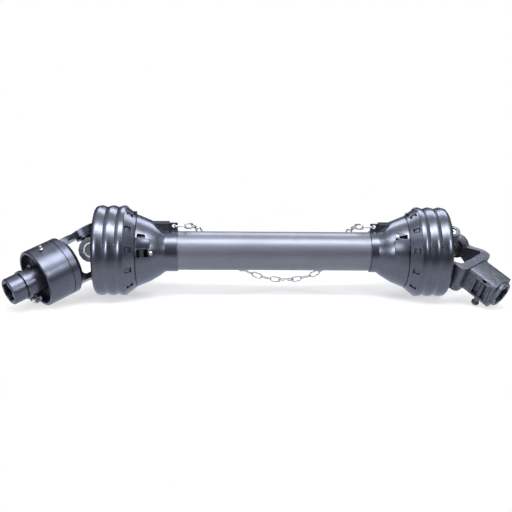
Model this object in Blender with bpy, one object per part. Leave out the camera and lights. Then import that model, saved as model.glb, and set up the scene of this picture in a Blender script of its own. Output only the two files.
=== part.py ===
"""A shielded cardan drive shaft for farm machines: two cross joints on a telescopic shaft,
inside a telescopic plastic guard with two ribbed bells and a safety chain between them.
The left end carries an overrunning clutch with a splined hub, the right end a yoke with a push pin.

The shaft runs along X. It lies on a floor, on its two bells, and both ends hang down and
forward (towards -Y) until they touch that floor. Sizes are in millimetres, times MM.
"""

import math

import bmesh
import bpy
from mathutils import Matrix, Vector

MM = 0.001
GAP = 0.3          # between pieces that touch
SEG = 28           # facets round the large turned pieces
SMALL_SEG = 14     # facets round the small ones
TINY_SEG = 10      # and round the smallest

# Driving sizes of the whole shaft
JOINT_SPAN = 610.0       # between the centres of the two crosses, pushed together
LEFT_SWING = 38.5        # degrees that the clutch end is turned forward
RIGHT_SWING = 40.5       # degrees that the yoke end is turned forward
LEFT_FORK_TURN = 75.0    # degrees from upright of the left shaft fork's pin, towards the front
PROFILE_STEP = 120.0     # the halves stand one step of the three-lobed profile apart

# Cross and its bearing cups
CUP_R = 13.5
CUP_OUT = 40.0           # from the cross centre to the cup's closed face
CUP_IN = 22.0
CUP_FLOOR = 3.0
PIN_R = 9.5
CROSS_BODY_R = 14.0
CLIP_THICK = 1.3
CLIP_WIRE = 2.6
CLIP_OPEN = 50.0         # degrees of the clip's opening

# Forks, the same on all four yokes
EYE_OUT = 43.0           # outer face of an eye, from the axis
EYE_IN = 27.0
ARM_OUT = 40.0           # outer face of an arm at the fork's base
ARM_IN = 31.0
EAR_R = 21.0
EAR_WAIST = 17.5         # half width of an arm where it leaves its eye
ROOT_HALF = 25.0         # half width of an arm at the base
THROAT = 50.0            # from the cross centre to the bottom of the fork
THROAT_CORNER = 7.0
FORK_BASE = 65.0
BASE_CORNER = 10.0

# Yoke on the telescopic shaft
TUBE_HUB_R = 30.0
TUBE_HUB_END = 105.0
GROOVE_AT = 80.0         # the groove that carries the guard's bearing ring
GROOVE_WIDTH = 9.0
GROOVE_DEPTH = 3.0
ROLL_PIN_AT = 97.0
ROLL_PIN_R = 4.0
ROLL_PIN_WALL = 1.6

# Telescopic profile tubes, three-lobed
OUTER_PROFILE_R = 22.4
OUTER_PROFILE_LOBE = 2.6
PROFILE_WALL = 4.0
PROFILE_CLEARANCE = 0.6
PROFILE_SEG = 24
PROFILE_START = 78.0     # from the cross centre to the tube's welded end
PROFILE_FREE = 126.0     # from the other cross centre to the tube's free end

# Plastic guard
BELL_R = 78.0
BELL_WALL = 3.0
BELL_MOUTH = 4.0         # from the cross centre to the bell's mouth
RIDGE_PITCH = 19.5
RIDGE_COUNT = 3
RIDGE_DEPTH = 3.0
RIDGE_FIRST = 13.0
COLLAR_START = 56.0
COLLAR_END = 74.0
COLLAR_R = 75.5
COLLAR_END_R = 62.5
WINDOW_COUNT = 12
WINDOW_AT = 59.0
WINDOW_LONG = 10.0
WINDOW_WIDE = 9.0
NUB_SIZE = 6.0           # the square nub on top of the collar
CONE_WALL = 3.0
CONE_SKIRT_AT = 60.0     # where the cone ends under the collar
CONE_AT = 75.5           # where the cone comes out of the collar
CONE_R = 61.8
NECK_AT = 123.0
NECK_R = 36.4
LEFT_NECK_END = 143.0
RIGHT_NECK_END = 134.0
OUTER_GUARD_R = 33.7
INNER_GUARD_R = 30.6
GUARD_WALL = 2.2
GUARD_SEAT = 110.0       # from the cross centre to the guard tube's fixed end
GUARD_FREE = 152.0       # from the other cross centre to the inner guard tube's free end
LUG_R = 50.5
LUG_HALF = 9.0
LUG_START = 99.0
LUG_PLATE_HALF = 1.6
LUG_PLATE_LONG = 14.0
LUG_HOLE_R = 3.4
LUG_SLACK = 1.0          # from the hole's edge to the middle of the link's curved end
LUG_HOLE_IN = 6.5        # the hole's centre from the plate's end and from its top
SLOT_AT = 78.0           # slots through the cone, over grease points
SLOT_LONG = 18.0
SLOT_WIDE = 14.0
NARROW_SLOT_WIDE = 7.0
LEFT_SLOT_TURN = 81.0    # degrees from the top, towards the front
HIGH_SLOT_TURN = 51.0
GUARD_SCREW_TURN = 20.0

# Overrunning clutch on the left end
DRUM_R = 49.0
DRUM_BORE = 44.0
DRUM_BACK = 53.0
DRUM_SHOULDER = 8.0      # the slope of the drum's back, along and across the axis
DRUM_LINE_AT = 72.0      # the turned line round the drum
DRUM_LINE = 1.4
DRUM_MOUTH = 118.0
DRUM_FLOOR = 70.0
DRUM_NIPPLE_AT = 99.0
DRUM_NIPPLE_TURN = -45.0 # degrees about the axis, from the upper eye
HUB_END = 168.0
HUB_R = 22.5
HUB_RING_R = 24.5
HUB_BODY_R = 22.5
HUB_FLANGE_R = 34.0
HUB_FLANGE_AT = 74.0
HUB_FLANGE_END = 94.0
HUB_GROOVE_AT = 143.0
HUB_GROOVE_LONG = 3.0
HUB_RING_LONG = 7.0
HUB_TURN = 24.4          # degrees that the hub stands turned in the drum
PAWL_COUNT = 3
PAWL_WIDE = 9.0
PAWL_SPAN = 11.0
COVER_AT = 96.0
COVER_THICK = 3.0
RING_THICK = 2.0
BOLT_R = 5.0
BOLT_OFFSET = 21.0
BOLT_AT = 129.0
BOLT_HEAD_R = 8.5
BOLT_HEAD_TALL = 6.5
BOSS_R = 9.5
BOSS_HALF = 19.0
KNOB_R = 4.0
KNOB_TALL = 7.0
KNOB_AT = 122.0
KNOB_TURN = -58.7        # degrees about the axis, from the bolt's head

# Spline bore, six teeth on a 35 mm shaft
SPLINE_R = 17.5
SPLINE_ROOT = 14.6
SPLINE_TEETH = 6
SPLINE_SHARE = 0.5       # share of each tooth pitch that is a groove

# Push-pin yoke on the right end
YOKE_HALF = 23.5         # half the side of the square hub
YOKE_CORNER = 6.5
YOKE_BLOCK_END = 119.0
YOKE_END = 125.0
YOKE_RING_R = 22.5
YOKE_REST_R = 30.0       # how far below its axis the hub is held off the floor
POCKET_AT = 84.0
POCKET_LONG = 26.0
POCKET_HALF = 15.0
POCKET_DEPTH = 5.0
RIM_WALL = 3.0           # the raised rim round the pocket
RIM_TALL = 2.0
PUSH_PIN_R = 4.6
PUSH_PIN_AT = 97.0
PUSH_PIN_OFFSET = 20.0
PUSH_HEAD_R = 6.5
PUSH_HEAD_TALL = 4.5
PUSH_STROKE = 4.5

# Safety chain
WIRE_R = 1.5
LINK_LONG = 22.4         # outside length of a link
LINK_WIDE = 11.0
LINK_BITE = 0.9          # how far fused links press into each other
HOOK_LONG = 31.0
HOOK_WIDE = 14.0
HOOK_WIRE_R = 1.8
HOOK_OPEN = 5.0          # the hook's opening
HOOK_SLACK = 1.0         # between the hook and the link on each side
LEFT_LINKS_SHARE = 0.545 # share of the links that are on the left of the hook
CHAIN_BACK = 40.5        # how far behind the shaft's axis the chain hangs
CHAIN_LOW = 64.0         # how far below the axis it hangs

NIPPLE_R = 3.2
NIPPLE_TALL = 9.0

PAINT = {
    "black_steel": ((0.060, 0.062, 0.075), 0.38, 0.85),
    "bright_steel": ((0.62, 0.63, 0.65), 0.28, 1.0),
    "guard_plastic": ((0.085, 0.088, 0.105), 0.42, 0.0),
    "bearing_nylon": ((0.55, 0.53, 0.48), 0.5, 0.0),
    "zinc": ((0.68, 0.70, 0.70), 0.3, 1.0),
}


def clear_scene():
    for thing in list(bpy.data.objects):
        bpy.data.objects.remove(thing)


def material(name):
    found = bpy.data.materials.get(name)
    if found:
        return found
    made = bpy.data.materials.new(name)
    made.use_nodes = True
    shader = made.node_tree.nodes["Principled BSDF"]
    colour, roughness, metallic = PAINT[name]
    shader.inputs["Base Color"].default_value = (*colour, 1.0)
    shader.inputs["Roughness"].default_value = roughness
    shader.inputs["Metallic"].default_value = metallic
    return made


def object_of(name, shape, paint=None, parent=None):
    """A named object from a bmesh, in its parent's frame."""
    bmesh.ops.recalc_face_normals(shape, faces=shape.faces[:])
    mesh = bpy.data.meshes.new(name)
    shape.to_mesh(mesh)
    shape.free()
    thing = bpy.data.objects.new(name, mesh)
    bpy.context.scene.collection.objects.link(thing)
    if paint:
        mesh.materials.append(material(paint))
        mesh.shade_smooth()
        mesh.set_sharp_from_angle(angle=math.radians(35))
    if parent:
        thing.parent = parent
    return thing


def turned(profile, segments=SEG, axis="X"):
    """A closed solid turned about an axis, from a closed profile of (along, radius) in mm."""
    shape = bmesh.new()
    rings = []
    for along, radius in profile:
        if radius <= 0:
            rings.append([shape.verts.new((along * MM, 0, 0))])
            continue
        ring = []
        for i in range(segments):
            turn = 2 * math.pi * i / segments - math.pi / 2
            ring.append(shape.verts.new((along * MM, radius * MM * math.cos(turn), radius * MM * math.sin(turn))))
        rings.append(ring)
    for ring, after in zip(rings, rings[1:] + rings[:1]):
        if len(ring) == 1 and len(after) == 1:
            continue
        for i in range(segments):
            j = (i + 1) % segments
            corners = [ring[i % len(ring)], ring[j % len(ring)], after[j % len(after)], after[i % len(after)]]
            shape.faces.new(list(dict.fromkeys(corners)))
    if axis == "Y":
        bmesh.ops.rotate(shape, matrix=Matrix.Rotation(math.pi / 2, 3, "Z"), verts=shape.verts[:])
    if axis == "Z":
        bmesh.ops.rotate(shape, matrix=Matrix.Rotation(-math.pi / 2, 3, "Y"), verts=shape.verts[:])
    return shape


def rod(start, end, radius, segments=SMALL_SEG, axis="X"):
    return turned([(start, 0), (start, radius), (end, radius), (end, 0)], segments, axis)


def ring(start, end, inner, outer, segments=SEG, axis="X"):
    return turned([(start, inner), (start, outer), (end, outer), (end, inner)], segments, axis)


def block(low, high):
    shape = bmesh.new()
    bmesh.ops.create_cube(shape, size=1.0)
    for vert in shape.verts:
        vert.co = Vector([MM * (low[i] if vert.co[i] < 0 else high[i]) for i in range(3)])
    return shape


def prism(outline, low, high, plane="XZ"):
    """A straight prism on an outline in mm, from low to high along the third axis."""
    shape = bmesh.new()
    place = {
        "XZ": lambda u, v, w: (u * MM, w * MM, v * MM),
        "XY": lambda u, v, w: (u * MM, v * MM, w * MM),
        "YZ": lambda u, v, w: (w * MM, u * MM, v * MM),
    }[plane]
    ends = [[shape.verts.new(place(u, v, w)) for u, v in outline] for w in (low, high)]
    shape.faces.new(ends[0])
    shape.faces.new(ends[1][::-1])
    for i in range(len(outline)):
        j = (i + 1) % len(outline)
        shape.faces.new((ends[0][i], ends[0][j], ends[1][j], ends[1][i]))
    return shape


def arc(centre, radius, start, end, steps):
    """Points on an arc, in degrees from start to end."""
    turns = [math.radians(start + (end - start) * i / steps) for i in range(steps + 1)]
    return [(centre[0] + radius * math.cos(t), centre[1] + radius * math.sin(t)) for t in turns]


def combine(shape, other, operation):
    """The union, difference or intersection of two closed shapes, as a new bmesh."""
    first, second = object_of("first", shape), object_of("second", other)
    step = first.modifiers.new("combine", "BOOLEAN")
    step.operation = operation
    step.solver = "EXACT"
    step.object = second
    evaluated = first.evaluated_get(bpy.context.evaluated_depsgraph_get())
    result = bmesh.new()
    result.from_mesh(evaluated.to_mesh())
    evaluated.to_mesh_clear()
    bpy.data.objects.remove(first)
    bpy.data.objects.remove(second)
    bmesh.ops.dissolve_degenerate(result, dist=1e-6, edges=result.edges[:])
    return result


def cut(shape, *others):
    for other in others:
        shape = combine(shape, other, "DIFFERENCE")
    return shape


def fuse(shape, *others):
    for other in others:
        shape = combine(shape, other, "UNION")
    return shape


def placed(shape, matrix):
    bmesh.ops.transform(shape, matrix=matrix, verts=shape.verts[:])
    return shape


def shifted(shape, x=0.0, y=0.0, z=0.0):
    return placed(shape, Matrix.Translation(Vector((x, y, z)) * MM))


def spun(shape, degrees, axis="X"):
    return placed(shape, Matrix.Rotation(math.radians(degrees), 4, axis))


def frame_at(name, origin, x_axis, y_axis, parent):
    """An empty whose X and Y axes point as given."""
    x = Vector(x_axis).normalized()
    y = Vector(y_axis).normalized()
    z = x.cross(y)
    empty = bpy.data.objects.new(name, None)
    bpy.context.scene.collection.objects.link(empty)
    matrix = Matrix((x, y, z)).transposed().to_4x4()
    matrix.translation = Vector(origin) * MM
    empty.parent = parent
    empty.matrix_local = matrix
    return empty


def resting_direction(side, swing, reach, radius):
    """Direction of an end that is swung forward and sinks until its rim meets the floor."""
    sink = math.asin(BELL_R / math.hypot(reach, radius)) - math.atan2(radius, reach)
    turn = math.radians(swing)
    droop = math.asin(math.sin(sink) / math.cos(turn))
    return Vector((side * math.cos(droop) * math.cos(turn), -math.sin(turn), -math.sin(sink)))


def fork_pin_axis(turn):
    """A shaft fork's pin, turned from upright towards the front."""
    return Vector((0, -math.sin(math.radians(turn)), math.cos(math.radians(turn))))


def ear_pin_axis(fork_pin, direction):
    """The end fork's pin: square to the end's own axis and to the shaft fork's pin."""
    pin = fork_pin.cross(direction).normalized()
    return pin if pin.z > 0 else -pin


def spline_bore(start, end):
    """A cutter for a bore with six straight-sided grooves."""
    outline = []
    pitch = 360.0 / SPLINE_TEETH
    for tooth in range(SPLINE_TEETH):
        middle = tooth * pitch
        half = SPLINE_SHARE * pitch / 2
        outline += arc((0, 0), SPLINE_R, middle - half, middle + half, 2)
        outline += arc((0, 0), SPLINE_ROOT, middle + half + 2, middle + pitch - half - 2, 2)
    return prism(outline, start, end, "YZ")


def ear_outline():
    """The fork seen along its pin: a round eye on a waist that widens into the base."""
    lean = math.degrees(math.acos(EAR_WAIST / EAR_R))
    eye = arc((0, 0), EAR_R, lean, 180, 6)
    half = [(FORK_BASE + 1, ROOT_HALF), (THROAT - 4, ROOT_HALF - 1), (EAR_R + 12, EAR_WAIST + 1)] + eye
    return half + [(x, -z) for x, z in reversed(half[:-1])]


def fork_profile():
    """The fork seen from the side: a U with round corners, wider at the eyes."""
    mouth = -EAR_R - 1
    outer = [(mouth, EYE_OUT), (EAR_R - 2, EYE_OUT), (EAR_R + 10, ARM_OUT + 0.5)]
    outer += arc((FORK_BASE - BASE_CORNER, ARM_OUT - BASE_CORNER), BASE_CORNER, 90, 0, 4)
    inner = [(mouth, ARM_IN)] + arc((THROAT - THROAT_CORNER, ARM_IN - THROAT_CORNER), THROAT_CORNER, 90, 0, 3)
    return outer + [(x, -y) for x, y in reversed(outer)] + [(x, -y) for x, y in inner] + list(reversed(inner))


def fork():
    """A U-shaped fork with round eyes. Its pin lies along Y."""
    sides = prism(fork_profile(), -ROOT_HALF - 1, ROOT_HALF + 1, "XY")
    shape = combine(sides, prism(ear_outline(), -EYE_OUT - 5, EYE_OUT + 5), "INTERSECT")
    for sign in (-1, 1):
        boss = rod(sign * EYE_IN, sign * (ARM_IN + 2), EAR_R - 1, 16, "Y")
        shape = fuse(shape, boss)
    return cut(shape, rod(-EYE_OUT - 10, EYE_OUT + 10, CUP_R + 2 * GAP, 16, "Y"))


def make_cross(name, frame, paint="bright_steel"):
    """A four-armed cross: arms along the frame's X (the shaft fork's pin) and Y (the end fork's pin)."""
    reach = CUP_OUT - CUP_FLOOR - GAP
    arm = [(-reach, 0), (-reach, PIN_R), (-CUP_IN, PIN_R), (-CUP_IN + 2, CROSS_BODY_R), (CUP_IN - 2, CROSS_BODY_R),
           (CUP_IN, PIN_R), (reach, PIN_R), (reach, 0)]
    shape = fuse(turned(arm, TINY_SEG), turned(arm, TINY_SEG, "Y"))
    return object_of(name, shape, paint, frame)


def make_nipple(name, frame, base, direction):
    """A grease nipple: hexagon foot, waist and ball head."""
    profile = [(0, 0), (0, NIPPLE_R), (3, NIPPLE_R), (4, 1.9), (6.4, 1.9), (7.4, 2.5), (8.6, 1.7), (NIPPLE_TALL, 0)]
    shape = turned(profile, 8)
    turn = Vector((1, 0, 0)).rotation_difference(Vector(direction)).to_matrix().to_4x4()
    placed(shape, Matrix.Translation(Vector(base) * MM) @ turn)
    return object_of(name, shape, "zinc", frame)


def make_cup(name, frame, side):
    """A needle cup pressed into an ear."""
    inner = PIN_R + GAP
    profile = [(CUP_IN, inner), (CUP_IN, CUP_R), (CUP_OUT, CUP_R), (CUP_OUT, 0), (CUP_OUT - CUP_FLOOR, 0),
               (CUP_OUT - CUP_FLOOR, inner)]
    shape = turned(profile, SMALL_SEG, "Y")
    return object_of(name, spun(shape, 0 if side > 0 else 180, "X"), "bright_steel", frame)


def make_clip(name, frame, side):
    """An open snap ring in front of a cup."""
    outer = arc((0, 0), CUP_R, CLIP_OPEN / 2, 360 - CLIP_OPEN / 2, 9)
    inner = arc((0, 0), CUP_R - CLIP_WIRE, 360 - CLIP_OPEN / 2, CLIP_OPEN / 2, 9)
    near = CUP_OUT + GAP / 2
    ends = (near, near + CLIP_THICK) if side > 0 else (-near - CLIP_THICK, -near)
    return object_of(name, prism(outer + inner, *ends), "zinc", frame)


def profile_outline(radius):
    """Three shallow lobes, as a telescopic profile tube has."""
    turns = [2 * math.pi * i / PROFILE_SEG for i in range(PROFILE_SEG)]
    return [((radius + OUTER_PROFILE_LOBE * math.cos(3 * t)) * math.cos(t),
             (radius + OUTER_PROFILE_LOBE * math.cos(3 * t)) * math.sin(t)) for t in turns]


def profile_tube(radius, start, end):
    outside = prism(profile_outline(radius), start, end, "YZ")
    inside = prism(profile_outline(radius - PROFILE_WALL), start - 5, end + 5, "YZ")
    return cut(outside, inside)


def make_shaft(side, frame, radius):
    """The yoke on the telescopic shaft, its profile tube, its roll pin, cups and clips."""
    hub = [(FORK_BASE - 4, 0), (FORK_BASE - 4, TUBE_HUB_R + 3), (FORK_BASE + 4, TUBE_HUB_R),
           (GROOVE_AT, TUBE_HUB_R), (GROOVE_AT, TUBE_HUB_R - GROOVE_DEPTH),
           (GROOVE_AT + GROOVE_WIDTH, TUBE_HUB_R - GROOVE_DEPTH), (GROOVE_AT + GROOVE_WIDTH, TUBE_HUB_R),
           (TUBE_HUB_END, TUBE_HUB_R), (TUBE_HUB_END, 0)]
    shape = fuse(fork(), turned(hub))
    socket = prism(profile_outline(radius + GAP), PROFILE_START - GAP, TUBE_HUB_END + 5, "YZ")
    pin_hole = shifted(rod(-TUBE_HUB_R - 5, TUBE_HUB_R + 5, ROLL_PIN_R + GAP, 12, "Z"), x=ROLL_PIN_AT)
    object_of(f"{side}_shaft_yoke", cut(shape, socket, pin_hole), "black_steel", frame)
    tube = profile_tube(radius, PROFILE_START, JOINT_SPAN - PROFILE_FREE)
    pin_hole = shifted(rod(-TUBE_HUB_R - 5, TUBE_HUB_R + 5, ROLL_PIN_R + GAP, 12, "Z"), x=ROLL_PIN_AT)
    tube_name = "outer_profile_tube" if side == "left" else "inner_profile_tube"
    object_of(tube_name, cut(tube, pin_hole), "black_steel", frame)
    pin = ring(-TUBE_HUB_R + 1, TUBE_HUB_R - 1, ROLL_PIN_R - ROLL_PIN_WALL, ROLL_PIN_R, 12, "Z")
    object_of(f"{side}_roll_pin", shifted(pin, x=ROLL_PIN_AT), "zinc", frame)
    for end_name, sign in (("a", 1), ("b", -1)):
        make_cup(f"{side}_shaft_cup_{end_name}", frame, sign)
        make_clip(f"{side}_shaft_clip_{end_name}", frame, sign)


def bell_outside():
    """The bell's outside from its rolled mouth to its collar: rounded ridges and valleys."""
    points = [(BELL_MOUTH, BELL_R - 3.5), (BELL_MOUTH + 2, BELL_R - 1.5)]
    for ridge in range(RIDGE_COUNT):
        crest = RIDGE_FIRST + ridge * RIDGE_PITCH
        points += [(crest - 4, BELL_R - 0.6), (crest, BELL_R), (crest + 4, BELL_R - 0.9)]
        if ridge < RIDGE_COUNT - 1:
            points += [(crest + RIDGE_PITCH / 2, BELL_R - RIDGE_DEPTH)]
    return points


def bell_inside():
    """The inside, from the collar's edge out to the mouth: the same waves with fewer points."""
    crests = [RIDGE_FIRST + ridge * RIDGE_PITCH for ridge in range(RIDGE_COUNT)]
    points = [(BELL_MOUTH, BELL_R - 3.5)]
    for crest in crests:
        points += [(crest, BELL_R - 0.6), (crest + RIDGE_PITCH / 2, BELL_R - RIDGE_DEPTH)]
    points = points[:-1] + [(COLLAR_START, COLLAR_R), (COLLAR_END, COLLAR_END_R)]
    return [(along, radius - BELL_WALL) for along, radius in reversed(points)]


def collar_radius(along):
    """The collar's outer radius, falling evenly from the bell to its edge."""
    return COLLAR_R + (COLLAR_END_R - COLLAR_R) * (along - COLLAR_START) / (COLLAR_END - COLLAR_START)


def cone_outside(neck_end):
    """The rigid cone's outside, from under the bell's collar down to the neck."""
    under = BELL_WALL + 2 * GAP
    return [(CONE_SKIRT_AT, collar_radius(CONE_SKIRT_AT) - under), (CONE_AT - 0.5, collar_radius(CONE_AT) - under),
            (CONE_AT, CONE_R), (98.0, 52.5), (112.0, 44.0), (NECK_AT - 2, NECK_R + 0.8), (NECK_AT, NECK_R),
            (neck_end, NECK_R)]


def cone_radius(along):
    """The cone's outer radius at a place along the axis."""
    points = cone_outside(LEFT_NECK_END)
    for (a, ra), (b, rb) in zip(points, points[1:]):
        if a <= along <= b:
            return ra + (rb - ra) * (along - a) / (b - a)
    return NECK_R


def joined(shapes):
    """Several separate closed shapes in one bmesh, to cut with."""
    whole = bmesh.new()
    for one in shapes:
        mesh = bpy.data.meshes.new("joined")
        one.to_mesh(mesh)
        one.free()
        whole.from_mesh(mesh)
        bpy.data.meshes.remove(mesh)
    return whole


def make_bell(side, frame):
    outside = bell_outside()
    collar = [(COLLAR_START, COLLAR_R), (COLLAR_END, COLLAR_END_R)]
    shape = turned(outside + collar + bell_inside())
    windows = [spun(block((WINDOW_AT, -WINDOW_WIDE / 2, COLLAR_END_R - 8),
                          (WINDOW_AT + WINDOW_LONG, WINDOW_WIDE / 2, COLLAR_R + 8)), (i + 0.5) * 360.0 / WINDOW_COUNT)
               for i in range(WINDOW_COUNT)]
    nub_at = COLLAR_END - NUB_SIZE
    nub = block((nub_at, -NUB_SIZE / 2, collar_radius(nub_at) - BELL_WALL / 2), (COLLAR_END, NUB_SIZE / 2, collar_radius(nub_at) + 2))
    object_of(f"{side}_bell", fuse(cut(shape, joined(windows)), nub), "guard_plastic", frame)


def chain_lug(neck_end):
    """The raised block on the neck with a thin plate and a hole for the chain."""
    body = block((LUG_START, -LUG_HALF, NECK_R - 1.5), (neck_end - LUG_PLATE_LONG, LUG_HALF, LUG_R))
    plate = block((neck_end - LUG_PLATE_LONG - 1, -LUG_PLATE_HALF, NECK_R - 1.5), (neck_end, LUG_PLATE_HALF, LUG_R - 1))
    hole = shifted(rod(-LUG_HALF, LUG_HALF, LUG_HOLE_R, 12, "Y"), x=neck_end - LUG_HOLE_IN, z=LUG_R - LUG_HOLE_IN)
    return cut(fuse(body, plate), hole)


def make_cone(side, frame, neck_end, tube_r):
    """The rigid cone with its neck, chain lug and slots, and the bearing ring that it runs on."""
    bore = tube_r + GAP
    places = (GUARD_SEAT - 4, 98.0, CONE_AT, CONE_SKIRT_AT)
    inside = [(neck_end, bore), (GUARD_SEAT - GAP, bore), (GUARD_SEAT - GAP, bore - GUARD_WALL)]
    inside += [(along, cone_radius(along + 0.01) - CONE_WALL) for along in places]
    # a quarter of a facet round from the bell, so that no edges fall together
    shape = spun(turned(cone_outside(neck_end) + inside), 90.0 / SEG)
    narrow = block((SLOT_AT, -NARROW_SLOT_WIDE / 2, NECK_R), (SLOT_AT + SLOT_LONG - 5, NARROW_SLOT_WIDE / 2, CONE_R + 9))
    front = 1 if side == "left" else -1
    slots = [spun(narrow, front * HIGH_SLOT_TURN)]
    if side == "left":
        wide = block((SLOT_AT, -SLOT_WIDE / 2, NECK_R), (SLOT_AT + SLOT_LONG, SLOT_WIDE / 2, CONE_R + 9))
        slots.append(spun(wide, LEFT_SLOT_TURN))
    shape = fuse(cut(shape, joined(slots)), chain_lug(neck_end))
    object_of(f"{side}_cone", shape, "guard_plastic", frame)
    near, far = GROOVE_AT + GAP, GROOVE_AT + GROOVE_WIDTH - GAP
    rim = cone_radius(far) - CONE_WALL - GAP - 0.5
    bearing = ring(near, far, TUBE_HUB_R - GROOVE_DEPTH + GAP, rim)
    object_of(f"{side}_bearing_ring", bearing, "bearing_nylon", frame)


def on_cone(name, frame, turn, along):
    """A grease nipple that stands on the cone."""
    lean = math.radians(turn)
    out = Vector((0, -math.sin(lean), math.cos(lean)))
    make_nipple(name, frame, out * (cone_radius(along - NIPPLE_R) + GAP) + Vector((along, 0, 0)), out)


def make_guard_tubes(left_frame, right_frame):
    outer_end = JOINT_SPAN - RIGHT_NECK_END - GAP
    outer = ring(GUARD_SEAT, outer_end, OUTER_GUARD_R - GUARD_WALL, OUTER_GUARD_R)
    object_of("outer_guard_tube", outer, "guard_plastic", left_frame)
    inner = ring(GUARD_SEAT, JOINT_SPAN - GUARD_FREE, INNER_GUARD_R - GUARD_WALL, INNER_GUARD_R)
    object_of("inner_guard_tube", inner, "guard_plastic", right_frame)


def make_clutch(frame):
    """The clutch drum with its fork, its cups and clips, and its grease nipple."""
    line = [(DRUM_LINE_AT, DRUM_R), (DRUM_LINE_AT + 0.5, DRUM_R - DRUM_LINE), (DRUM_LINE_AT + 2, DRUM_R - DRUM_LINE),
            (DRUM_LINE_AT + 2.5, DRUM_R)]
    drum = [(DRUM_BACK, 0), (DRUM_BACK, DRUM_R - DRUM_SHOULDER), (DRUM_BACK + DRUM_SHOULDER, DRUM_R)]
    drum += line + [(DRUM_MOUTH - 1.5, DRUM_R), (DRUM_MOUTH, DRUM_R - 1.5), (DRUM_MOUTH, DRUM_BORE),
                    (DRUM_FLOOR, DRUM_BORE), (DRUM_FLOOR, 0)]
    object_of("clutch_drum", fuse(fork(), turned(drum)), "black_steel", frame)
    for end_name, sign in (("upper", 1), ("lower", -1)):
        make_cup(f"clutch_cup_{end_name}", frame, sign)
        make_clip(f"clutch_clip_{end_name}", frame, sign)
    lean = math.radians(DRUM_NIPPLE_TURN)
    out = Vector((0, math.cos(lean), math.sin(lean)))
    make_nipple("drum_nipple", frame, out * (DRUM_R + GAP) + Vector((DRUM_NIPPLE_AT, 0, 0)), out)


def make_clutch_hub(frame):
    """The splined hub that overruns in the drum, with its pawls, knob, bolt and nut."""
    groove_end = HUB_GROOVE_AT + HUB_GROOVE_LONG
    profile = [(HUB_FLANGE_AT, 0), (HUB_FLANGE_AT, HUB_FLANGE_R), (HUB_FLANGE_END, HUB_FLANGE_R),
               (HUB_FLANGE_END, HUB_BODY_R), (HUB_GROOVE_AT - HUB_RING_LONG, HUB_BODY_R),
               (HUB_GROOVE_AT - HUB_RING_LONG, HUB_RING_R), (HUB_GROOVE_AT, HUB_RING_R), (HUB_GROOVE_AT, HUB_R - 2),
               (groove_end, HUB_R - 2), (groove_end, HUB_R), (HUB_END - 1.5, HUB_R), (HUB_END, HUB_R - 1.5),
               (HUB_END, 0)]
    boss = shifted(rod(-BOSS_HALF, BOSS_HALF, BOSS_R, 16, "Y"), x=BOLT_AT, z=BOLT_OFFSET)
    bolt_hole = shifted(rod(-BOSS_HALF - 5, BOSS_HALF + 5, BOLT_R + GAP, 12, "Y"), x=BOLT_AT, z=BOLT_OFFSET)
    shape = cut(fuse(turned(profile), boss), spline_bore(HUB_FLANGE_AT - 5, HUB_END + 5), bolt_hole)
    slots = [spun(block((HUB_FLANGE_AT - 2, -PAWL_WIDE / 2 - GAP, HUB_FLANGE_R - PAWL_SPAN),
                        (HUB_FLANGE_END - 2, PAWL_WIDE / 2 + GAP, HUB_FLANGE_R + 5)), 360.0 / PAWL_COUNT * i)
             for i in range(PAWL_COUNT)]
    object_of("clutch_hub", cut(shape, joined(slots)), "black_steel", frame)
    for i in range(PAWL_COUNT):
        pawl = block((HUB_FLANGE_AT, -PAWL_WIDE / 2, HUB_FLANGE_R - PAWL_SPAN + GAP),
                     (HUB_FLANGE_END - 2 - GAP, PAWL_WIDE / 2, DRUM_BORE - 2 * GAP))
        object_of(f"clutch_pawl_{i + 1}", spun(pawl, 360.0 / PAWL_COUNT * i), "bright_steel", frame)
    face = BOSS_HALF + GAP
    bolt = [(-face - BOLT_HEAD_TALL - 2, 0), (-face - BOLT_HEAD_TALL - 2, BOLT_R), (face, BOLT_R),
            (face, BOLT_HEAD_R), (face + BOLT_HEAD_TALL, BOLT_HEAD_R), (face + BOLT_HEAD_TALL, 0)]
    object_of("hub_bolt", shifted(turned(bolt, 6, "Y"), x=BOLT_AT, z=BOLT_OFFSET), "black_steel", frame)
    nut = ring(-face - BOLT_HEAD_TALL, -face, BOLT_R + GAP, BOLT_HEAD_R, 6, "Y")
    object_of("hub_nut", shifted(nut, x=BOLT_AT, z=BOLT_OFFSET), "zinc", frame)
    foot = HUB_BODY_R + GAP
    knob = [(foot, 0), (foot, KNOB_R - 1), (foot + 2, KNOB_R - 1), (foot + 2.5, KNOB_R), (foot + KNOB_TALL - 2, KNOB_R),
            (foot + KNOB_TALL, KNOB_R - 2), (foot + KNOB_TALL, 0)]
    object_of("hub_knob", spun(shifted(turned(knob, 12, "Y"), x=KNOB_AT), KNOB_TURN), "black_steel", frame)


def make_clutch_cover(frame):
    """The cover washer and the snap ring that close the drum behind the hub's flange."""
    cover = ring(COVER_AT, COVER_AT + COVER_THICK, HUB_BODY_R + 1, DRUM_BORE - GAP)
    object_of("clutch_cover", cover, "black_steel", frame)
    start = COVER_AT + COVER_THICK + GAP
    object_of("clutch_snap_ring", ring(start, start + RING_THICK, DRUM_BORE - 4, DRUM_BORE - GAP), "zinc", frame)


def rounded_square(half, corner):
    centre = half - corner
    return (arc((centre, centre), corner, 0, 90, 3) + arc((-centre, centre), corner, 90, 180, 3)
            + arc((-centre, -centre), corner, 180, 270, 3) + arc((centre, -centre), corner, 270, 360, 3))


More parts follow.
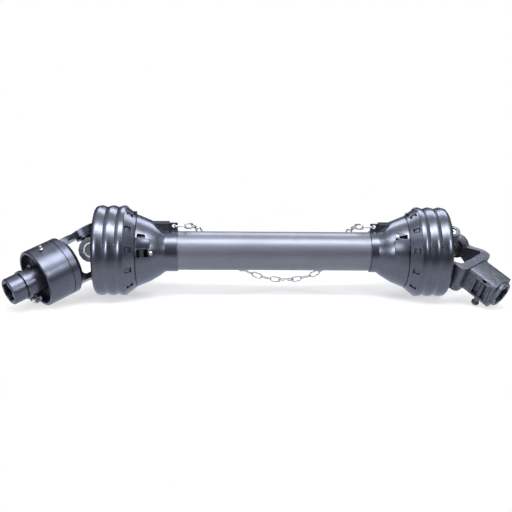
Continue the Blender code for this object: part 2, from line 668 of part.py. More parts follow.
def make_push_yoke(frame):
    """The end yoke with a square splined hub and, in its side, a pocket with a push pin."""
    hub = prism(rounded_square(YOKE_HALF, YOKE_CORNER), FORK_BASE - 3, YOKE_BLOCK_END, "YZ")
    end_ring = turned([(YOKE_BLOCK_END - 1, 0), (YOKE_BLOCK_END - 1, YOKE_RING_R), (YOKE_END - 1, YOKE_RING_R),
                       (YOKE_END, YOKE_RING_R - 1), (YOKE_END, 0)])
    rim = block((POCKET_AT - RIM_WALL, -YOKE_HALF - RIM_TALL, -POCKET_HALF - RIM_WALL),
                (POCKET_AT + POCKET_LONG + RIM_WALL, -YOKE_HALF + 1, POCKET_HALF + RIM_WALL))
    pocket = block((POCKET_AT, -YOKE_HALF - 9, -POCKET_HALF),
                   (POCKET_AT + POCKET_LONG, -YOKE_HALF + POCKET_DEPTH, POCKET_HALF))
    pin_way = shifted(rod(-YOKE_HALF - 9, YOKE_HALF - 3, PUSH_PIN_R + GAP, 12, "Z"), x=PUSH_PIN_AT, y=-PUSH_PIN_OFFSET)
    shape = fuse(fork(), hub, end_ring, rim)
    shape = cut(shape, spline_bore(THROAT - 5, YOKE_END + 5), pocket, pin_way)
    object_of("push_yoke", shape, "black_steel", frame)
    for end_name, sign in (("upper", 1), ("lower", -1)):
        make_cup(f"yoke_cup_{end_name}", frame, sign)
        make_clip(f"yoke_clip_{end_name}", frame, sign)
    low = -YOKE_HALF - PUSH_STROKE - GAP
    pin = [(low - PUSH_HEAD_TALL, 0), (low - PUSH_HEAD_TALL, PUSH_HEAD_R - 1), (low - PUSH_HEAD_TALL + 1, PUSH_HEAD_R),
           (low, PUSH_HEAD_R), (low, PUSH_PIN_R), (YOKE_HALF - 3 - PUSH_STROKE - GAP, PUSH_PIN_R),
           (YOKE_HALF - 3 - PUSH_STROKE - GAP, 0)]
    pin = shifted(turned(pin, 12, "Z"), x=PUSH_PIN_AT, y=-PUSH_PIN_OFFSET)
    object_of("push_pin", pin, "bright_steel", frame)


def link(long, wide, wire, opening=0.0):
    """One oval chain link in the XY plane, centred, long along X, closed or with a gap in one side."""
    half = (long - wide) / 2
    bend = wide / 2 - wire
    path = arc((half, 0), bend, -90, 90, 3) + arc((-half, 0), bend, 90, 270, 3)
    if opening:
        path = [(opening / 2, -bend)] + path + [(-opening / 2, -bend)]
    shape = bmesh.new()
    rings = []
    for i, (x, y) in enumerate(path):
        ahead, behind = path[(i + 1) % len(path)], path[i - 1]
        run = Vector((ahead[0] - behind[0], ahead[1] - behind[1], 0)).normalized()
        inward = Vector((-run.y, run.x, 0))
        turns = (2 * math.pi * k / 5 for k in range(5))
        rings.append([shape.verts.new((Vector((x, y, 0)) + wire * (math.cos(t) * inward + math.sin(t) * Vector((0, 0, 1))))
                                      * MM) for t in turns])
    pairs = list(zip(rings, rings[1:]))
    if opening:
        shape.faces.new(rings[0])
        shape.faces.new(rings[-1][::-1])
    else:
        pairs.append((rings[-1], rings[0]))
    for ring_a, ring_b in pairs:
        for k in range(5):
            shape.faces.new((ring_a[k], ring_a[(k + 1) % 5], ring_b[(k + 1) % 5], ring_b[k]))
    return shape


def smooth_route(points, steps=24):
    """A Catmull-Rom curve through the route's points."""
    points = [Vector(p) for p in points]
    padded = [2 * points[0] - points[1]] + points + [2 * points[-1] - points[-2]]
    route = []
    for i in range(1, len(padded) - 2):
        a, b, c, d = padded[i - 1: i + 3]
        for k in range(steps):
            t = k / steps
            route.append(0.5 * (2 * b + (c - a) * t + (2 * a - 5 * b + 4 * c - d) * t * t
                                + (3 * b - a - 3 * c + d) * t ** 3))
    return route + [points[-1]]


def place_on(route, distance):
    """The point at a distance along a route."""
    for here, there in zip(route, route[1:]):
        step = (there - here).length
        if distance <= step:
            return here + (there - here) * (distance / step)
        distance -= step
    return route[-1]


def between(shape, start, end, roll):
    """A link moved to the middle of two points and rolled about the line between them."""
    x = (end - start).normalized()
    y = (Vector((0, 1, 0)) - x * x.y).normalized()
    matrix = Matrix((x, y, x.cross(y))).transposed().to_4x4()
    matrix.translation = (start + end) / 2 * MM
    return placed(shape, matrix @ Matrix.Rotation(math.radians(roll), 4, "X"))


def chain_points():
    """The chain's hand-set route from the left lug, down behind the guard tube and up to the right lug."""
    left = -JOINT_SPAN / 2 + LEFT_NECK_END - LUG_HOLE_IN
    right = JOINT_SPAN / 2 - RIGHT_NECK_END + LUG_HOLE_IN
    top = LUG_R - LUG_HOLE_IN
    back, low = CHAIN_BACK, -CHAIN_LOW
    return [(left, 0, top), (left + 15, 0.4, top), (left + 27, 8, top - 1.5), (left + 37, 23, 37), (left + 45, 36, 23),
            (left + 58, back, 2), (-83, back, -24), (-52, back, -43), (-20, back, -57), (10, back, low + 1),
            (40, back, low + 0.5), (70, back, -57), (97, back, -44), (right - 59, back, -25), (right - 50, back, -4),
            (right - 42, 38, 19), (right - 35, 25, 36), (right - 26, 9, top - 1), (right - 15, 0.4, top),
            (right, 0, top)]


def make_chains(frame):
    """Two runs of links, each fused link to link, and the open hook that joins them below the tube."""
    route = smooth_route(chain_points())
    length = sum((b - a).length for a, b in zip(route, route[1:]))
    lead = LUG_HOLE_R - LUG_SLACK - LINK_BITE / 2
    hook_inside = HOOK_LONG - 4 * HOOK_WIRE_R
    hook_span = hook_inside - LINK_BITE - 2 * HOOK_SLACK
    pitch = LINK_LONG - 4 * WIRE_R + LINK_BITE
    count = 2 * round((length - 2 * lead - hook_span) / pitch / 2)
    pitch = (length - 2 * lead - hook_span) / count
    left_count = round(count * LEFT_LINKS_SHARE)
    hook_at = lead + left_count * pitch
    runs = (("left_chain", lead, left_count, 1), ("right_chain", length - lead, count - left_count, -1))
    for name, start, links, sign in runs:
        groups = [[], []]
        for i in range(links):
            near = place_on(route, start + sign * i * pitch)
            far = place_on(route, start + sign * (i + 1) * pitch)
            groups[i % 2].append(between(link(LINK_LONG, LINK_WIDE, WIRE_R), near, far, 90 * (i % 2)))
        object_of(name, fuse(joined(groups[0]), joined(groups[1])), "zinc", frame)
    hook = link(HOOK_LONG, HOOK_WIDE, HOOK_WIRE_R, HOOK_OPEN)
    near, far = place_on(route, hook_at), place_on(route, hook_at + hook_span)
    object_of("chain_hook", between(hook, near, far, 90 * (left_count % 2)), "zinc", frame)


def settle(rig):
    """Moves the whole shaft so that the origin is under its middle, on the floor."""
    bpy.context.view_layer.update()
    corners = [thing.matrix_world @ vert.co for thing in bpy.data.objects if thing.type == "MESH"
               for vert in thing.data.vertices]
    low = Vector([min(c[i] for c in corners) for i in range(3)])
    high = Vector([max(c[i] for c in corners) for i in range(3)])
    rig.location = -Vector(((low.x + high.x) / 2, (low.y + high.y) / 2, low.z))
    bpy.context.view_layer.update()


def build():
    clear_scene()
    rig = bpy.data.objects.new("rig", None)
    bpy.context.scene.collection.objects.link(rig)
    left, right = (-JOINT_SPAN / 2, 0, 0), (JOINT_SPAN / 2, 0, 0)
    left_guard = frame_at("left_guard_frame", left, (1, 0, 0), (0, 1, 0), rig)
    right_guard = frame_at("right_guard_frame", right, (-1, 0, 0), (0, -1, 0), rig)
    left_pin, right_pin = fork_pin_axis(LEFT_FORK_TURN), fork_pin_axis(LEFT_FORK_TURN + PROFILE_STEP)
    left_shaft = frame_at("left_shaft_frame", left, (1, 0, 0), left_pin, rig)
    right_shaft = frame_at("right_shaft_frame", right, (-1, 0, 0), right_pin, rig)
    left_way = resting_direction(-1, LEFT_SWING, DRUM_MOUTH - 1.5, DRUM_R)
    right_way = resting_direction(1, RIGHT_SWING, YOKE_BLOCK_END, YOKE_REST_R)
    left_end_pin, right_end_pin = ear_pin_axis(left_pin, left_way), ear_pin_axis(right_pin, right_way)
    left_end = frame_at("left_end_frame", left, left_way, left_end_pin, rig)
    right_end = frame_at("right_end_frame", right, right_way, right_end_pin, rig)
    turn = Matrix.Rotation(math.radians(HUB_TURN), 3, left_way)
    hub_frame = frame_at("hub_frame", left, left_way, turn @ left_end_pin, rig)

    inner_r = OUTER_PROFILE_R - PROFILE_WALL - PROFILE_CLEARANCE
    make_shaft("left", left_shaft, OUTER_PROFILE_R)
    make_shaft("right", right_shaft, inner_r)
    make_bell("left", left_guard)
    make_bell("right", right_guard)
    make_cone("left", left_guard, LEFT_NECK_END, OUTER_GUARD_R)
    make_cone("right", right_guard, RIGHT_NECK_END, INNER_GUARD_R)
    on_cone("left_guard_nipple", left_guard, LEFT_SLOT_TURN, SLOT_AT + SLOT_LONG + 5)
    on_cone("right_guard_nipple", right_guard, -HIGH_SLOT_TURN, SLOT_AT + SLOT_LONG)
    make_guard_tubes(left_guard, right_guard)

    make_cross("left_cross", frame_at("left_cross_frame", left, left_pin, left_end_pin, rig))
    make_cross("right_cross", frame_at("right_cross_frame", right, right_pin, right_end_pin, rig))
    make_clutch(left_end)
    make_clutch_hub(hub_frame)
    make_clutch_cover(left_end)
    make_push_yoke(right_end)
    make_chains(rig)
    settle(rig)


build()
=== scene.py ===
"""Looks for the pto drive shaft: camera, light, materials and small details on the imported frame."""
import math

import bmesh
import bpy
from mathutils import Matrix, Vector


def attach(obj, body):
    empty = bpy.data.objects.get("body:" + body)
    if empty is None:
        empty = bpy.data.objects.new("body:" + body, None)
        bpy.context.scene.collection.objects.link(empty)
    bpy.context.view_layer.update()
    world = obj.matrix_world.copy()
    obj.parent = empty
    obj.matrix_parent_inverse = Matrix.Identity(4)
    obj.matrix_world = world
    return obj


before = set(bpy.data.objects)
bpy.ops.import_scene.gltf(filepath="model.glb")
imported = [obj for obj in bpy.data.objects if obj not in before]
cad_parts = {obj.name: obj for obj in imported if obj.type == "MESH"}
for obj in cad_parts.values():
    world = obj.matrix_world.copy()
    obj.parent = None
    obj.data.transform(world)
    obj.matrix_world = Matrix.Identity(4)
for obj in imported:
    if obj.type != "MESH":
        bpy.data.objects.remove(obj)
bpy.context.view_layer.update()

MM = 0.001

# The joints' centres in metres and the directions of their pins, as in the part's source
LEFT_JOINT = Vector((-0.283782, 0.02162, 0.078))
LEFT_SHAFT_PIN = Vector((0, -0.965926, 0.258819))
LEFT_END_PIN = Vector((-0.491616, 0.225383, 0.84114))
RIGHT_JOINT = Vector((0.326218, 0.02162, 0.078))
RIGHT_SHAFT_PIN = Vector((0, 0.258819, -0.965926))
RIGHT_END_PIN = Vector((0.761161, 0.626463, 0.16786))

# The details' sizes in millimetres, measured from a joint's centre along the shaft
WINDOWS = 12
TONGUE_LOW = (60.5, -3.6, 66.0)
TONGUE_HIGH = (67.0, 2.4, 70.5)
TONGUE_BEVEL = 0.35
COLLAR_SLOPE = math.atan2(13.0, 18.0)
CONE = ((75.5, 61.8), (98.0, 52.5), (112.0, 44.0))
PANEL_FIRST = 55.5  # degrees from the top to the panel's upper edge
LEFT_PANEL_LAST = 73.0
RIGHT_PANEL_LAST = 92.0
PANEL_COLUMNS = 7
PANEL_LIFT = 4.0
PANEL_SUNK = -1.2
PANEL_FALL = 0.85  # share of the lift that is lost at the lower edge
PANEL_STATIONS = ((76.5, 0.8), (82.0, 1.0), (90.0, 1.0), (99.0, 1.0))
PANEL_BEVEL = 0.5
PANEL_SHARP = math.radians(45)
NIPPLE_PROFILE = (
    (12.0, 0.01), (12.0, 3.4), (16.5, 3.4), (17.2, 2.2), (19.0, 2.2), (20.0, 2.7), (21.0, 1.8), (21.4, 0.01),
)
NIPPLE_SEGMENTS = 18

# Shading of the facets: edges sharper than these angles stay sharp
SHARP_EDGE = 40
SHARP_EDGE_OF_CHAIN = 80
SHARP_EDGE_OF_DETAIL = 35
WELD_DISTANCE = 0.00001


def frame_of(origin, along, side):
    """A place with x along the shaft and y to the side."""
    x = along.normalized()
    y = (side - x * side.dot(x)).normalized()
    z = x.cross(y)
    place = Matrix((x, y, z)).transposed().to_4x4()
    place.translation = origin
    return place


LEFT_GUARD = frame_of(LEFT_JOINT, Vector((1, 0, 0)), Vector((0, 1, 0)))
RIGHT_GUARD = frame_of(RIGHT_JOINT, Vector((-1, 0, 0)), Vector((0, -1, 0)))


# The Mix node has one socket for each type of data; these are the numbers of those for colours
MIX_COLOUR_A = 6
MIX_COLOUR_B = 7
MIX_COLOUR = 2


class Tree:
    """A short hand for a material's or a world's nodes."""

    def __init__(self, owner, output="OutputMaterial"):
        owner.use_nodes = True
        self.tree = owner.node_tree
        self.tree.nodes.clear()
        self.out = self.add(output)

    def add(self, kind, **settings):
        node = self.tree.nodes.new("ShaderNode" + kind)
        for name, value in settings.items():
            setattr(node, name, value)
        return node

    def link(self, source, target):
        self.tree.links.new(source, target)

    def noise(self, coordinates, scale, detail, rough, distortion=0.0):
        node = self.add("TexNoise")
        node.inputs["Scale"].default_value = scale
        node.inputs["Detail"].default_value = detail
        node.inputs["Roughness"].default_value = rough
        node.inputs["Distortion"].default_value = distortion
        self.link(coordinates, node.inputs["Vector"])
        return node.outputs["Fac"]

    def ramp(self, value, stops):
        node = self.add("ValToRGB")
        line = node.color_ramp
        while len(line.elements) < len(stops):
            line.elements.new(0.5)
        for element, (place, colour) in zip(line.elements, stops):
            element.position = place
            element.color = (*colour, 1.0)
        self.link(value, node.inputs["Fac"])
        return node.outputs["Color"]

    def spread(self, value, low, high, from_low, from_high):
        """Values between from_low and from_high, spread from low to high."""
        node = self.add("MapRange")
        node.inputs["From Min"].default_value = from_low
        node.inputs["From Max"].default_value = from_high
        node.inputs["To Min"].default_value = low
        node.inputs["To Max"].default_value = high
        self.link(value, node.inputs["Value"])
        return node.outputs["Result"]

    def math(self, kind, a, b):
        node = self.add("Math", operation=kind)
        for socket, value in zip(node.inputs, (a, b)):
            if isinstance(value, (int, float)):
                socket.default_value = value
            else:
                self.link(value, socket)
        return node.outputs["Value"]

    def scaled(self, coordinates, scale):
        node = self.add("Mapping")
        node.inputs["Scale"].default_value = scale
        self.link(coordinates, node.inputs["Vector"])
        return node.outputs["Vector"]

    def blend(self, factor, a, b):
        """Colour a turning into the plain colour b, by the Mix node's colour sockets."""
        node = self.add("Mix", data_type="RGBA")
        self.link(factor, node.inputs["Factor"])
        self.link(a, node.inputs[MIX_COLOUR_A])
        node.inputs[MIX_COLOUR_B].default_value = (*b, 1.0)
        return node.outputs[MIX_COLOUR]

    def bump(self, height, strength, distance, normal):
        node = self.add("Bump")
        node.inputs["Strength"].default_value = strength
        node.inputs["Distance"].default_value = distance
        self.link(height, node.inputs["Height"])
        self.link(normal, node.inputs["Normal"])
        return node.outputs["Normal"]

    def either(self, factor, first, second):
        """The first shader, or the second where the factor is 1."""
        node = self.add("MixShader")
        self.link(factor, node.inputs["Fac"])
        self.link(first, node.inputs[1])
        self.link(second, node.inputs[2])
        return node.outputs["Shader"]


BEVEL_SAMPLES = 6
EDGE_FROM = 0.80  # the bevelled and the true normal's dot product where an edge is fully worn
EDGE_TO = 0.99


def edges(tree, radius):
    """Rounded normals for hard edges, and a mask that is high on them."""
    bevel = tree.add("Bevel", samples=BEVEL_SAMPLES)
    bevel.inputs["Radius"].default_value = radius
    geometry = tree.add("NewGeometry")
    dot = tree.add("VectorMath", operation="DOT_PRODUCT")
    tree.link(bevel.outputs["Normal"], dot.inputs[0])
    tree.link(geometry.outputs["Normal"], dot.inputs[1])
    mask = tree.spread(dot.outputs["Value"], 1.0, 0.0, EDGE_FROM, EDGE_TO)
    return bevel.outputs["Normal"], mask


# The scales of the noises, per metre
PATCHES = 14.0
SCUFFS = 60.0
CHIPS = 160.0
SPECKLE = 360.0
CAST_GRAIN = 420.0
STREAK_DEPTH = 0.00004
COAT_ROUGHNESS = 0.18
PLASTIC_IOR = 1.6


def finish(name, dark, light, worn, rough, metallic=0.0, edge=0.0006, grain=400.0, grain_depth=0.00005,
           cast_depth=0.0, speckle=0.0, streak=None, tint=(1.0, 1.0, 1.0), coat=0.0, wear=0.5):
    """One procedural finish: patchy colour, uneven gloss, fine grain, and wear on the edges.

    dark, light and worn are colours, rough is the least and the most roughness, edge is the radius of
    worn edges in metres, cast_depth and speckle give the grain of cast metal, and streak draws the
    scuffs out in one direction.
    """
    material = bpy.data.materials.new(name)
    tree = Tree(material)
    place = tree.add("TexCoord").outputs["Object"]
    patches = tree.noise(place, PATCHES, 5.0, 0.6)
    colour = tree.ramp(patches, [(0.32, dark), (0.68, light)])
    if speckle:
        specks = tree.noise(place, SPECKLE, 3.0, 0.7)
        colour = tree.blend(tree.spread(specks, 0.0, speckle, 0.50, 0.68), colour, worn)

    rounded, edge_mask = edges(tree, edge)
    chips = tree.spread(tree.noise(place, CHIPS, 4.0, 0.65), 0.0, 1.0, 0.42, 0.62)
    worn_mask = tree.math("MULTIPLY", tree.math("MULTIPLY", edge_mask, chips), wear)
    colour = tree.blend(worn_mask, colour, worn)

    scuffs = tree.noise(tree.scaled(place, streak or (1.0, 1.0, 1.0)), SCUFFS, 4.0, 0.7)
    uneven = tree.spread(scuffs, rough[0], rough[1], 0.3, 0.7)
    gloss = tree.math("ADD", uneven, tree.math("MULTIPLY", worn_mask, 0.12))

    fine = tree.noise(place, grain, 2.0, 0.5)
    normal = tree.bump(fine, 0.5, grain_depth, rounded)
    if cast_depth:
        cast = tree.noise(place, CAST_GRAIN, 4.0, 0.7, 0.3)
        normal = tree.bump(cast, 0.9, cast_depth, normal)
    if streak:
        normal = tree.bump(scuffs, 0.35, STREAK_DEPTH, normal)

    shader = tree.add("BsdfPrincipled")
    tree.link(colour, shader.inputs["Base Color"])
    tree.link(gloss, shader.inputs["Roughness"])
    tree.link(normal, shader.inputs["Normal"])
    shader.inputs["Metallic"].default_value = metallic
    shader.inputs["IOR"].default_value = PLASTIC_IOR
    shader.inputs["Specular Tint"].default_value = (*tint, 1.0)
    shader.inputs["Coat Weight"].default_value = coat
    shader.inputs["Coat Roughness"].default_value = COAT_ROUGHNESS
    tree.link(shader.outputs["BSDF"], tree.out.inputs["Surface"])
    return material


COOL = (0.84, 0.89, 1.0)
guard = finish(
    "guard_plastic_look", dark=(0.108, 0.116, 0.148), light=(0.134, 0.143, 0.180), worn=(0.22, 0.23, 0.26),
    rough=(0.25, 0.34), metallic=0.92, grain=520.0, grain_depth=0.00003, streak=(0.15, 1.0, 1.0), tint=COOL,
    coat=0.1, wear=0.35,
)
guard_tube = finish(
    "guard_tube_look", dark=(0.150, 0.156, 0.190), light=(0.176, 0.183, 0.220), worn=(0.26, 0.27, 0.30),
    rough=(0.36, 0.45), metallic=0.70, grain=520.0, grain_depth=0.00002, streak=(0.06, 1.0, 1.0), tint=COOL,
    coat=0.1, wear=0.3,
)
paint = finish(
    "painted_drum_look", dark=(0.092, 0.098, 0.131), light=(0.116, 0.123, 0.160), worn=(0.28, 0.29, 0.32),
    rough=(0.30, 0.41), metallic=0.92, grain=300.0, grain_depth=0.00004, cast_depth=0.00003, tint=COOL,
    coat=0.15,
)
casting = finish(
    "painted_casting_look", dark=(0.080, 0.085, 0.108), light=(0.125, 0.132, 0.160), worn=(0.34, 0.36, 0.42),
    rough=(0.30, 0.45), metallic=0.88, grain=900.0, grain_depth=0.0002, cast_depth=0.0011, speckle=0.45,
    tint=COOL, coat=0.1, wear=0.6,
)
steel = finish(
    "bright_steel_look", dark=(0.30, 0.30, 0.31), light=(0.42, 0.42, 0.43), worn=(0.60, 0.60, 0.61),
    rough=(0.24, 0.40), metallic=1.0, edge=0.0004, grain_depth=0.00002, streak=(0.1, 1.0, 1.0), wear=0.8,
)
zinc = finish(
    "zinc_look", dark=(0.60, 0.61, 0.62), light=(0.74, 0.74, 0.74), worn=(0.5, 0.48, 0.43),
    rough=(0.22, 0.36), metallic=1.0, edge=0.0003, grain_depth=0.00002, wear=0.6,
)
# Dark steel: the bearing cups' own colour, and on the push pin painted shade of the pocket it sits in
dark_steel_and_pocket_shade = finish(
    "dark_steel_and_pocket_shade_look", dark=(0.075, 0.078, 0.092), light=(0.120, 0.124, 0.142), worn=(0.30, 0.31, 0.33),
    rough=(0.34, 0.50), metallic=0.9, edge=0.0004, grain_depth=0.00003, wear=0.6,
)
# Near-black bearing ring: black nylon, made this dark as painted shade of the slot it shows through
nylon_and_slot_shade = finish(
    "nylon_and_slot_shade_look", dark=(0.012, 0.012, 0.014), light=(0.020, 0.020, 0.023), worn=(0.05, 0.05, 0.055),
    rough=(0.38, 0.5), grain_depth=0.00002, wear=0.4,
)

SLOT_LOOKS = {
    "guard_plastic": guard,
    "bearing_nylon": nylon_and_slot_shade,
    "black_steel": casting,
    "bright_steel": steel,
    "zinc": zinc,
}
NODE_LOOKS = {
    "outer_guard_tube": guard_tube,
    "inner_guard_tube": guard_tube,
    "clutch_drum": paint,
    "clutch_hub": paint,
    "hub_knob": paint,
    # The push pin takes the dark steel as painted shade of the yoke's pocket around it
    "push_pin": dark_steel_and_pocket_shade,
}


def look_for(name, slot):
    """The finish of a node's slot: the node's own, or that of the slot in the record."""
    if "cup" in name:
        return dark_steel_and_pocket_shade
    if name in NODE_LOOKS:
        return NODE_LOOKS[name]
    kind = slot.material.name.split(".")[0] if slot.material else "black_steel"
    return SLOT_LOOKS.get(kind, casting)


def soften(node, degrees):
    """Round surfaces shade smoothly; edges sharper than the angle stay sharp."""
    mesh = node.data
    if "custom_normal" in mesh.attributes:
        mesh.attributes.remove(mesh.attributes["custom_normal"])
    mesh.shade_smooth()
    weld = node.modifiers.new("weld", "WELD")
    weld.merge_threshold = WELD_DISTANCE
    split = node.modifiers.new("edges", "EDGE_SPLIT")
    split.split_angle = math.radians(degrees)
    split.use_edge_sharp = False


for name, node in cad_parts.items():
    for slot in node.material_slots:
        slot.material = look_for(name, slot)
    soften(node, SHARP_EDGE_OF_CHAIN if "chain" in name else SHARP_EDGE)


def piece(name, shape, place, body, look):
    """A detail from a bmesh in millimetres, put in its place and carried by its body."""
    bmesh.ops.recalc_face_normals(shape, faces=shape.faces[:])
    mesh = bpy.data.meshes.new(name)
    shape.to_mesh(mesh)
    shape.free()
    mesh.transform(place @ Matrix.Scale(MM, 4))
    mesh.shade_smooth()
    mesh.set_sharp_from_angle(angle=math.radians(SHARP_EDGE_OF_DETAIL))
    mesh.materials.append(look)
    thing = bpy.data.objects.new(name, mesh)
    bpy.context.scene.collection.objects.link(thing)
    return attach(thing, body)


def lathe(profile, segments):
    """A turned shape about x from (along, radius) points, closed."""
    shape = bmesh.new()
    rows = []
    for i in range(segments):
        turn = 2 * math.pi * i / segments
        rows.append([shape.verts.new((x, r * math.cos(turn), r * math.sin(turn))) for x, r in profile])
    for one, two in zip(rows, rows[1:] + rows[:1]):
        for j in range(len(profile)):
            k = (j + 1) % len(profile)
            shape.faces.new((one[j], one[k], two[k], two[j]))
    bmesh.ops.remove_doubles(shape, verts=shape.verts[:], dist=1e-5)
    return shape


def rounded_block(low, high, bevel):
    """A block between two corners with rounded edges."""
    shape = bmesh.new()
    bmesh.ops.create_cube(shape, size=1.0)
    size = [h - l for l, h in zip(low, high)]
    middle = [(l + h) / 2 for l, h in zip(low, high)]
    place = Matrix.Translation(middle) @ Matrix.Diagonal((*size, 1))
    bmesh.ops.transform(shape, matrix=place, verts=shape.verts[:])
    bmesh.ops.bevel(shape, geom=shape.edges[:], offset=bevel, segments=2, affect="EDGES")
    return shape


def gather(shapes):
    """Several shapes in one."""
    whole = bmesh.new()
    for one in shapes:
        mesh = bpy.data.meshes.new("gather")
        one.to_mesh(mesh)
        one.free()
        whole.from_mesh(mesh)
        bpy.data.meshes.remove(mesh)
    return whole


def snap_tongues():
    """The cone's snap tongues, one in each window of the bell's collar, leaning with the collar."""
    hinge = Vector((TONGUE_LOW[0], 0, TONGUE_HIGH[2]))
    lean = Matrix.Translation(hinge) @ Matrix.Rotation(COLLAR_SLOPE, 4, "Y") @ Matrix.Translation(-hinge)
    tongues = []
    for i in range(WINDOWS):
        tongue = rounded_block(TONGUE_LOW, TONGUE_HIGH, TONGUE_BEVEL)
        turn = Matrix.Rotation(math.radians((i + 0.5) * 360.0 / WINDOWS), 4, "X")
        bmesh.ops.transform(tongue, matrix=lean, verts=tongue.verts[:])
        bmesh.ops.transform(tongue, matrix=turn, verts=tongue.verts[:])
        tongues.append(tongue)
    return gather(tongues)


def cone_radius(along):
    """The cone's outer radius at a place along the axis, as in the part's source."""
    for (a, ra), (b, rb) in zip(CONE, CONE[1:]):
        if a <= along <= b:
            return ra + (rb - ra) * (along - a) / (b - a)
    return CONE[-1][1]


def latch_panel(sign, last_turn):
    """The raised latch panel on a cone: highest along its upper edge, nearly flush at its lower one."""
    shape = bmesh.new()
    falls = [i / (PANEL_COLUMNS - 1) for i in range(PANEL_COLUMNS)]

    def point(along, fall, lift):
        radius = cone_radius(along) + lift
        lean = math.radians(PANEL_FIRST + (last_turn - PANEL_FIRST) * fall) * sign
        return shape.verts.new((along, -radius * math.sin(lean), radius * math.cos(lean)))

    rows = []
    for along, share in PANEL_STATIONS:
        lift = share * PANEL_LIFT
        outside = [point(along, fall, lift * (1.0 - PANEL_FALL * fall ** 1.5)) for fall in falls]
        inside = [point(along, fall, PANEL_SUNK) for fall in reversed(falls)]
        rows.append(outside + inside)
    count = len(rows[0])
    for one, two in zip(rows, rows[1:]):
        for i in range(count):
            j = (i + 1) % count
            shape.faces.new((one[i], one[j], two[j], two[i]))
    shape.faces.new(rows[0])
    shape.faces.new(reversed(rows[-1]))
    bmesh.ops.recalc_face_normals(shape, faces=shape.faces[:])
    sharp = [edge for edge in shape.edges if edge.calc_face_angle(0.0) > PANEL_SHARP]
    bmesh.ops.bevel(shape, geom=sharp, offset=PANEL_BEVEL, segments=2, affect="EDGES")
    return shape


piece("left_snap_tongues", snap_tongues(), LEFT_GUARD, "guard_left", guard)
piece("right_snap_tongues", snap_tongues(), RIGHT_GUARD, "guard_right", guard)

left_panel = latch_panel(1, LEFT_PANEL_LAST)
right_panel = latch_panel(-1, RIGHT_PANEL_LAST)
piece("left_latch_panel", left_panel, LEFT_GUARD, "guard_left", guard)
piece("right_latch_panel", right_panel, RIGHT_GUARD, "guard_right", guard)

# A grease nipple stands between two arms of each cross
left_cross = frame_of(LEFT_JOINT, LEFT_SHAFT_PIN + LEFT_END_PIN, LEFT_SHAFT_PIN.cross(LEFT_END_PIN))
right_cross = frame_of(RIGHT_JOINT, RIGHT_SHAFT_PIN + RIGHT_END_PIN, RIGHT_SHAFT_PIN.cross(RIGHT_END_PIN))
piece("left_cross_nipple", lathe(NIPPLE_PROFILE, NIPPLE_SEGMENTS), left_cross, "cross_left", zinc)
piece("right_cross_nipple", lathe(NIPPLE_PROFILE, NIPPLE_SEGMENTS), right_cross, "cross_right", zinc)


TARGET = Vector((-0.0053, 0.019, 0.0696))
AZIMUTH = math.radians(-1.87)
ELEVATION = math.radians(14.7)
ROLL = math.radians(0.76)
DISTANCE = 1.396
LENS = 56.37
SENSOR = 36


def add_camera():
    level = math.cos(ELEVATION)
    back = Vector((math.sin(AZIMUTH) * level, -math.cos(AZIMUTH) * level, math.sin(ELEVATION)))
    data = bpy.data.cameras.new("camera")
    data.sensor_width = SENSOR
    data.lens = LENS
    camera = bpy.data.objects.new("camera", data)
    bpy.context.scene.collection.objects.link(camera)
    camera.location = TARGET + back * DISTANCE
    look_at = back.to_track_quat("Z", "Y").to_matrix().to_4x4()
    camera.rotation_euler = (look_at @ Matrix.Rotation(ROLL, 4, "Z")).to_euler()
    bpy.context.scene.camera = camera


FLOOR_HALF = 6
FLOOR_DROP = -0.0005
FLOOR_COLOUR = (0.86, 0.86, 0.87, 1)
FADE_SHAPE = (0.62, 1.0, 0.0)  # the shadow's region on the floor is wider than deep
FADE_FROM = 0.12
FADE_TO = 0.42
NEAR_GLOW = 0.5
FAR_GLOW = 1.0
# A painted reflection: the floor's glow that only reflections see, its colour, where it starts and ends in
# y, and its strength
PAINTED_REFLECTION_COLOUR = (0.95, 0.97, 1.0, 1)
PAINTED_REFLECTION_EDGE = -0.44
PAINTED_REFLECTION_FULL = -0.10
PAINTED_REFLECTION_DARK = 0.03
PAINTED_REFLECTION_PALE = 0.95


def floor_look():
    """White floor that keeps the shadow near the object; reflections see it glow, a painted reflection."""
    material = bpy.data.materials.new("floor_look")
    tree = Tree(material)
    path = tree.add("LightPath")
    where = tree.add("NewGeometry").outputs["Position"]

    diffuse = tree.add("BsdfDiffuse")
    diffuse.inputs["Color"].default_value = FLOOR_COLOUR
    glow = tree.add("Emission")
    glow.inputs["Color"].default_value = (1, 1, 1, 1)
    glow.inputs["Strength"].default_value = 1.0
    away = tree.add("VectorMath", operation="LENGTH")
    tree.link(tree.scaled(where, FADE_SHAPE), away.inputs[0])
    fade = tree.spread(away.outputs["Value"], NEAR_GLOW, FAR_GLOW, FADE_FROM, FADE_TO)
    seen_glow = tree.math("MULTIPLY", path.outputs["Is Camera Ray"], fade)
    seen = tree.either(seen_glow, diffuse.outputs["BSDF"], glow.outputs["Emission"])

    # Painted reflection: glossy rays see the floor glow, dark towards the camera and pale from near the
    # object on
    parts = tree.add("SeparateXYZ")
    tree.link(where, parts.inputs[0])
    painted_reflection = tree.add("Emission")
    painted_reflection.inputs["Color"].default_value = PAINTED_REFLECTION_COLOUR
    pale = tree.spread(parts.outputs["Y"], PAINTED_REFLECTION_DARK, PAINTED_REFLECTION_PALE, PAINTED_REFLECTION_EDGE, PAINTED_REFLECTION_FULL)
    tree.link(pale, painted_reflection.inputs["Strength"])
    both = tree.either(path.outputs["Is Glossy Ray"], seen, painted_reflection.outputs["Emission"])
    tree.link(both, tree.out.inputs["Surface"])
    return material


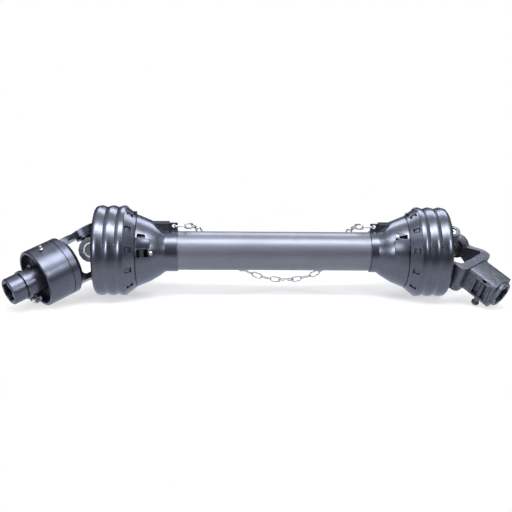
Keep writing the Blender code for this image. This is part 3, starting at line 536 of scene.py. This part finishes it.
def add_floor():
    half = FLOOR_HALF
    corners = [(-half, -half, 0), (half, -half, 0), (half, half, 0), (-half, half, 0)]
    mesh = bpy.data.meshes.new("floor")
    mesh.from_pydata(corners, [], [(0, 1, 2, 3)])
    mesh.materials.append(floor_look())
    floor = bpy.data.objects.new("floor", mesh)
    bpy.context.scene.collection.objects.link(floor)
    floor.location.z = FLOOR_DROP


ROOM_STRENGTH = 0.6
ROOM_STOPS = [(0.0, (0.02, 0.022, 0.03)), (0.45, (0.10, 0.11, 0.14)), (0.85, (1.0, 1.0, 1.0))]


def add_world():
    """A room that is dark at the horizon and pale above, and plain white behind the object."""
    world = bpy.data.worlds.new("studio")
    bpy.context.scene.world = world
    tree = Tree(world, "OutputWorld")
    split = tree.add("SeparateXYZ")
    tree.link(tree.add("TexCoord").outputs["Generated"], split.inputs[0])
    room = tree.add("Background")
    room.inputs["Strength"].default_value = ROOM_STRENGTH
    tree.link(tree.ramp(split.outputs["Z"], ROOM_STOPS), room.inputs["Color"])
    white = tree.add("Background")
    white.inputs["Color"].default_value = (1, 1, 1, 1)
    white.inputs["Strength"].default_value = 1.0
    seen = tree.add("LightPath").outputs["Is Camera Ray"]
    both = tree.either(seen, room.outputs["Background"], white.outputs["Background"])
    tree.link(both, tree.out.inputs["Surface"])


def softbox(name, place, aim, size, power, colour):
    data = bpy.data.lights.new(name, "AREA")
    data.shape = "RECTANGLE"
    data.size, data.size_y = size
    data.energy = power
    data.color = colour
    lamp = bpy.data.objects.new(name, data)
    bpy.context.scene.collection.objects.link(lamp)
    lamp.location = place
    lamp.rotation_euler = (Vector(place) - Vector(aim)).to_track_quat("Z", "Y").to_euler()


add_camera()
add_floor()
add_world()
softbox("top", (0.0, -0.40, 1.30), (0, 0, 0.08), (1.9, 0.48), 30, (0.94, 0.97, 1.0))
softbox("front_left", (-0.95, -1.25, 0.62), (-0.3, 0, 0.1), (0.22, 0.55), 10, (0.93, 0.96, 1.0))
softbox("front_right", (1.05, -1.10, 0.85), (0.3, 0, 0.1), (0.22, 0.50), 7, (0.93, 0.96, 1.0))
softbox("back", (0.2, 1.2, 1.3), (0, 0, 0.1), (1.8, 0.6), 20, (0.94, 0.97, 1.0))
bpy.context.scene.view_settings.view_transform = "Standard"
